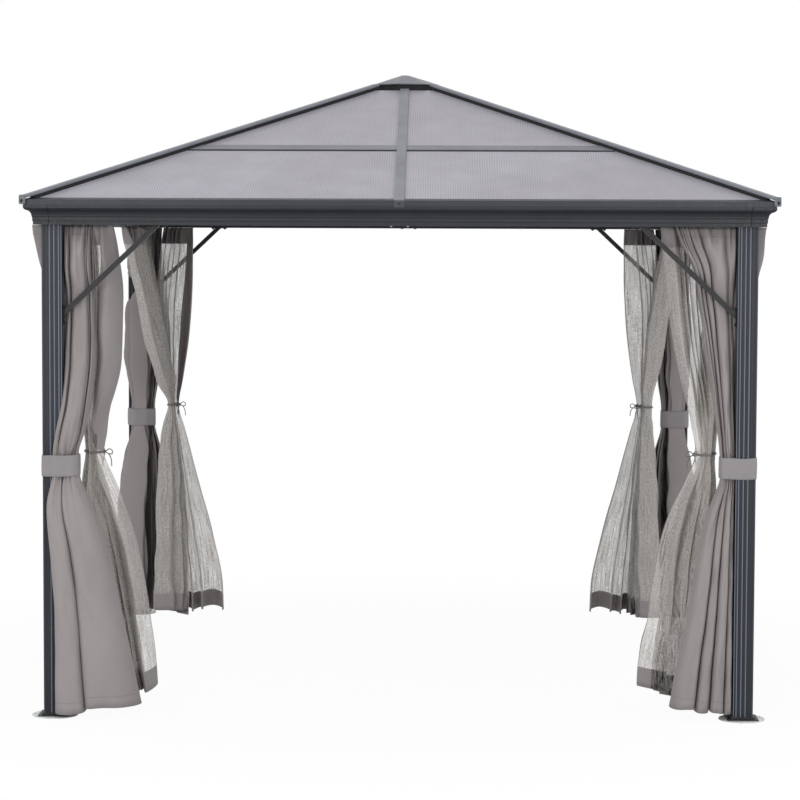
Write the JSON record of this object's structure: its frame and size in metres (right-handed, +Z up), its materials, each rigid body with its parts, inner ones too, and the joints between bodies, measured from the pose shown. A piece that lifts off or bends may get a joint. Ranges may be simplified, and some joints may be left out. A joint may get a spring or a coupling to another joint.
{
  "type": "metal gazebo",
  "caption": "Square hardtop garden gazebo: fluted metal posts, crown-moulded beams, hipped polycarbonate roof with a raised peak cap, tied-back curtains and insect nets.",
  "frame": {"origin": "on the ground, at the middle of the plan, under the peak", "axes": "+Z up, -Y towards the front as pictured, +X to the right of the front"},
  "size_m": [3, 3, 2.6524],
  "materials": {
    "frame_charcoal": "satin powder coat",
    "rail_charcoal": "satin powder coat",
    "roof_trim": "satin powder coat",
    "roof_polycarbonate": "multiwall sheet with flutes up the slope",
    "gasket_black": "matt",
    "plate_silver": "zinc plated",
    "shoe_black": "moulded",
    "curtain_taupe": "woven polyester",
    "net_taupe": "sheer mesh"
  },
  "bodies": {
    "root": {"post_front_left": "frame_charcoal", "post_front_right": "frame_charcoal", "post_back_right": "frame_charcoal", "post_back_left": "frame_charcoal", "base_plates": "plate_silver", "post_shoes": "shoe_black", "beam_front": "frame_charcoal", "beam_right": "frame_charcoal", "beam_back": "frame_charcoal", "beam_left": "frame_charcoal", "beam_corners": "frame_charcoal", "splice_covers": "frame_charcoal", "eave_rail_front": "rail_charcoal", "eave_rail_right": "rail_charcoal", "eave_rail_back": "rail_charcoal", "eave_rail_left": "rail_charcoal", "roof_sheets_front": "roof_polycarbonate", "roof_sheets_right": "roof_polycarbonate", "roof_sheets_back": "roof_polycarbonate", "roof_sheets_left": "roof_polycarbonate", "roof_purlins": "roof_trim", "rib_front": "roof_trim", "rib_right": "roof_trim", "rib_back": "roof_trim", "rib_left": "roof_trim", "hip_rafter_front_left": "frame_charcoal", "hip_rafter_front_right": "frame_charcoal", "hip_rafter_back_right": "frame_charcoal", "hip_rafter_back_left": "frame_charcoal", "hip_covers": "roof_trim", "hip_gaskets": "gasket_black", "hip_end_caps": "roof_trim", "roof_hub": "gasket_black", "roof_cap": "roof_trim", "knee_braces_front_left": "frame_charcoal", "knee_braces_front_right": "frame_charcoal", "knee_braces_back_right": "frame_charcoal", "knee_braces_back_left": "frame_charcoal", "curtain_tracks": "frame_charcoal", "curtain_front_left": "curtain_taupe", "curtain_front_right": "curtain_taupe", "curtain_back_right": "curtain_taupe", "curtain_back_left": "curtain_taupe", "net_front_left": "net_taupe", "net_front_right": "net_taupe", "net_back_right": "net_taupe", "net_back_left": "net_taupe", "tie_bands": "curtain_taupe"}
  },
  "joints": []
}
